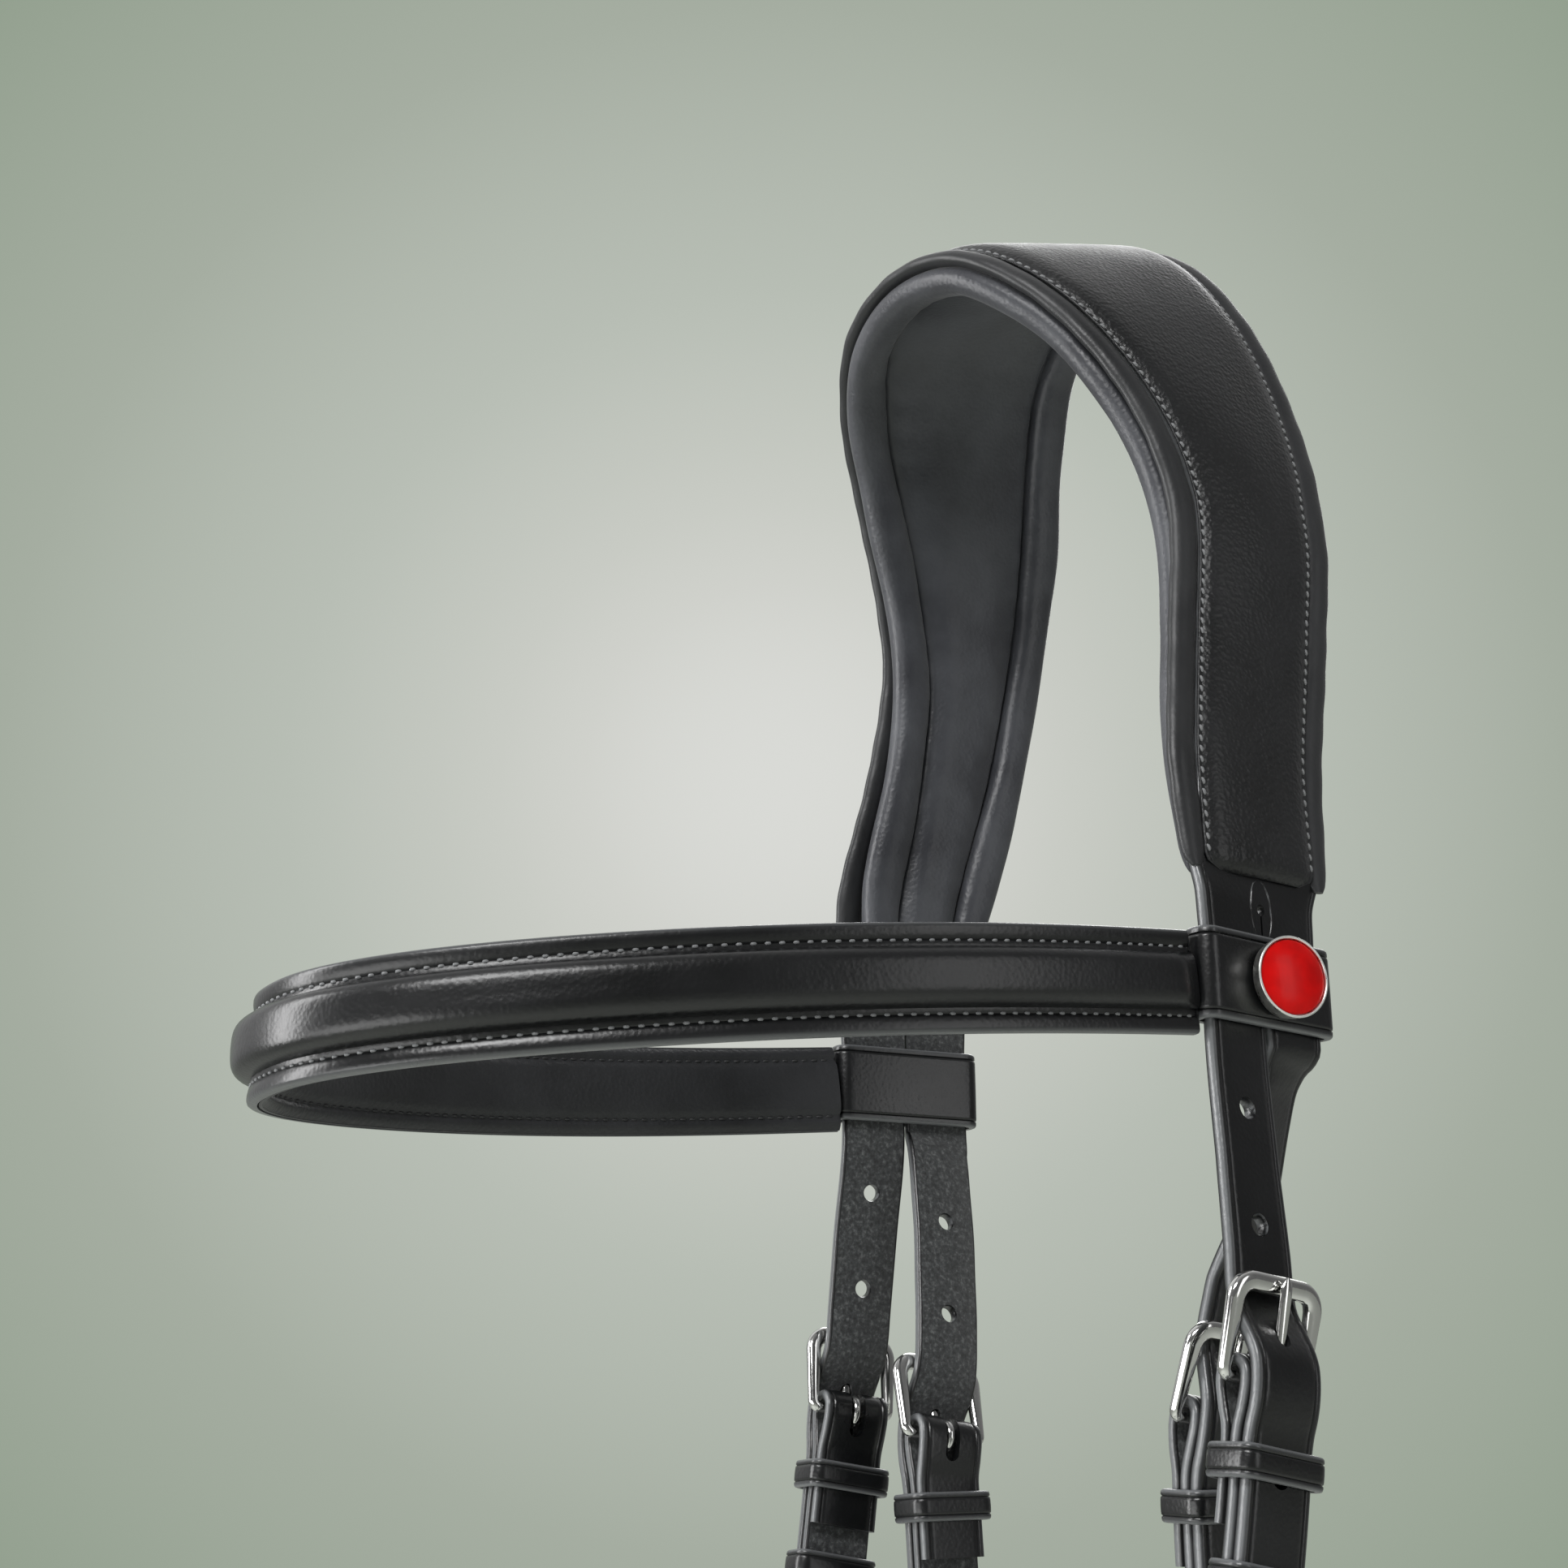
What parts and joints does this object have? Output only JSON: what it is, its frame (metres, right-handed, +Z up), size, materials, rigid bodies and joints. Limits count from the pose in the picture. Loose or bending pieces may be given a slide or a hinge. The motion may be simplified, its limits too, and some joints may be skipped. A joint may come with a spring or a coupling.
{
  "type": "bitless bridle",
  "caption": "Black leather bitless bridle with padded crown, browband, side-pull noseband, throatlash, chin strap and steel rein rings.",
  "frame": {"origin": "underside of the crown lining at its highest point, where the bridle rests on the poll", "axes": "+Z up, +X towards the near (left) side of the horse, -Y towards its forehead"},
  "size_m": [0.159, 0.2307, 0.5855],
  "materials": {
    "black_leather": "smooth black bridle leather, satin sheen",
    "soft_leather": "soft matte blue-black lining leather",
    "foam": "dense felt or foam padding, hidden",
    "polished_steel": "polished stainless steel",
    "red_enamel": "bright red glossy enamel"
  },
  "bodies": {
    "headpiece": {"crown_lining": "soft_leather", "crown_padding": "foam", "crown_panel": "black_leather", "crown_piping_front": "black_leather", "crown_piping_rear": "black_leather", "headpiece_strap": "black_leather"},
    "browband": {"browband_core": "foam", "browband_facing": "black_leather", "browband_lining": "soft_leather", "browband_loop_left": "black_leather", "browband_loop_right": "black_leather", "medallion_enamel_left": "red_enamel", "medallion_enamel_right": "red_enamel", "medallion_left": "polished_steel", "medallion_right": "polished_steel"},
    "cheekpieces": {"cheek_buckle_left": "polished_steel", "cheek_buckle_right": "polished_steel", "cheek_keeper_left": "black_leather", "cheek_keeper_right": "black_leather", "cheek_tail_left": "black_leather", "cheek_tail_right": "black_leather", "cheekpiece_left": "black_leather", "cheekpiece_right": "black_leather"},
    "throatlash": {"throatlash_buckle_left": "polished_steel", "throatlash_buckle_right": "polished_steel", "throatlash_keeper_left": "black_leather", "throatlash_keeper_right": "black_leather", "throatlash_strap": "black_leather", "throatlash_tail_left": "black_leather", "throatlash_tail_right": "black_leather"},
    "noseband": {"noseband_core": "foam", "noseband_facing": "black_leather", "noseband_lining": "soft_leather", "noseband_strap": "black_leather"},
    "chin_strap": {"chin_strap": "black_leather", "chin_strap_buckle": "polished_steel", "chin_strap_keeper": "black_leather", "chin_strap_tail": "black_leather"},
    "rein_ring_left": {"rein_ring_left": "polished_steel"},
    "rein_ring_right": {"rein_ring_right": "polished_steel"},
    "cheek_tongue_left": {"cheek_tongue_left": "polished_steel"},
    "cheek_runner_left": {"cheek_runner_left": "black_leather"},
    "cheek_tongue_right": {"cheek_tongue_right": "polished_steel"},
    "cheek_runner_right": {"cheek_runner_right": "black_leather"},
    "throatlash_tongue_left": {"throatlash_tongue_left": "polished_steel"},
    "throatlash_runner_left": {"throatlash_runner_left": "black_leather"},
    "throatlash_tongue_right": {"throatlash_tongue_right": "polished_steel"},
    "throatlash_runner_right": {"throatlash_runner_right": "black_leather"},
    "chin_strap_tongue": {"chin_strap_tongue": "polished_steel"},
    "chin_strap_runner": {"chin_strap_runner": "black_leather"}
  },
  "joints": [
    {"name": "browband_slide", "type": "slide", "parent": "headpiece", "child": "browband", "axis": [0, 0, 1], "range_m": [0, 0.008]},
    {"name": "cheek_swing", "type": "hinge", "parent": "headpiece", "child": "cheekpieces", "pos_m": [0, -0.01368, -0.1908], "axis": [1, 0, 0], "range_deg": [-12, 0]},
    {"name": "throatlash_swing", "type": "hinge", "parent": "headpiece", "child": "throatlash", "pos_m": [0, 0.01868, -0.1908], "axis": [1, 0, 0], "range_deg": [0, 18]},
    {"name": "noseband_swing", "type": "hinge", "parent": "cheekpieces", "child": "noseband", "pos_m": [0, -0.048, -0.521], "axis": [1, 0, 0], "range_deg": [-15, 15]},
    {"name": "chin_strap_swing", "type": "hinge", "parent": "cheekpieces", "child": "chin_strap", "pos_m": [0, -0.048, -0.521], "axis": [1, 0, 0], "range_deg": [-20, 20]},
    {"name": "rein_ring_spin_left", "type": "hinge", "parent": "cheekpieces", "child": "rein_ring_left", "pos_m": [0.06, -0.048, -0.521], "axis": [1, 0, 0], "continuous": true},
    {"name": "rein_ring_spin_right", "type": "hinge", "parent": "cheekpieces", "child": "rein_ring_right", "pos_m": [-0.06, -0.048, -0.521], "axis": [1, 0, 0], "continuous": true},
    {"name": "cheek_tongue_turn_left", "type": "hinge", "parent": "cheekpieces", "child": "cheek_tongue_left", "pos_m": [0.0714, -0.00939, -0.25725], "axis": [-0.0704, 0.9911, -0.113], "range_deg": [0, 5]},
    {"name": "cheek_runner_slide_left", "type": "slide", "parent": "cheekpieces", "child": "cheek_runner_left", "axis": [-0.0587, -0.1622, -0.985], "range_m": [-0.002, 0.008]},
    {"name": "cheek_tongue_turn_right", "type": "hinge", "parent": "cheekpieces", "child": "cheek_tongue_right", "pos_m": [-0.0714, -0.00939, -0.25725], "axis": [-0.0704, -0.9911, 0.113], "range_deg": [0, 5]},
    {"name": "cheek_runner_slide_right", "type": "slide", "parent": "cheekpieces", "child": "cheek_runner_right", "axis": [0.0587, -0.1622, -0.985], "range_m": [-0.002, 0.008]},
    {"name": "throatlash_tongue_turn_left", "type": "hinge", "parent": "throatlash", "child": "throatlash_tongue_left", "pos_m": [0.04649, -0.00026, -0.26344], "axis": [-0.0106, 0.9954, -0.095], "range_deg": [0, 5]},
    {"name": "throatlash_runner_slide_left", "type": "slide", "parent": "throatlash", "child": "throatlash_runner_left", "axis": [-0.013, 0.0521, -0.9986], "range_m": [-0.002, 0.008]},
    {"name": "throatlash_tongue_turn_right", "type": "hinge", "parent": "throatlash", "child": "throatlash_tongue_right", "pos_m": [-0.04649, -0.00026, -0.26344], "axis": [-0.0106, -0.9954, 0.095], "range_deg": [0, 5]},
    {"name": "throatlash_runner_slide_right", "type": "slide", "parent": "throatlash", "child": "throatlash_runner_right", "axis": [0.013, 0.0521, -0.9986], "range_m": [-0.002, 0.008]},
    {"name": "chin_strap_tongue_turn", "type": "hinge", "parent": "chin_strap", "child": "chin_strap_tongue", "pos_m": [0.05301, 0.01119, -0.54491], "axis": [0, 0.3746, 0.9272], "range_deg": [0, 5]},
    {"name": "chin_strap_runner_slide", "type": "slide", "parent": "chin_strap", "child": "chin_strap_runner", "axis": [-0.8284, 0.5193, -0.2098], "range_m": [-0.002, 0.002]}
  ]
}
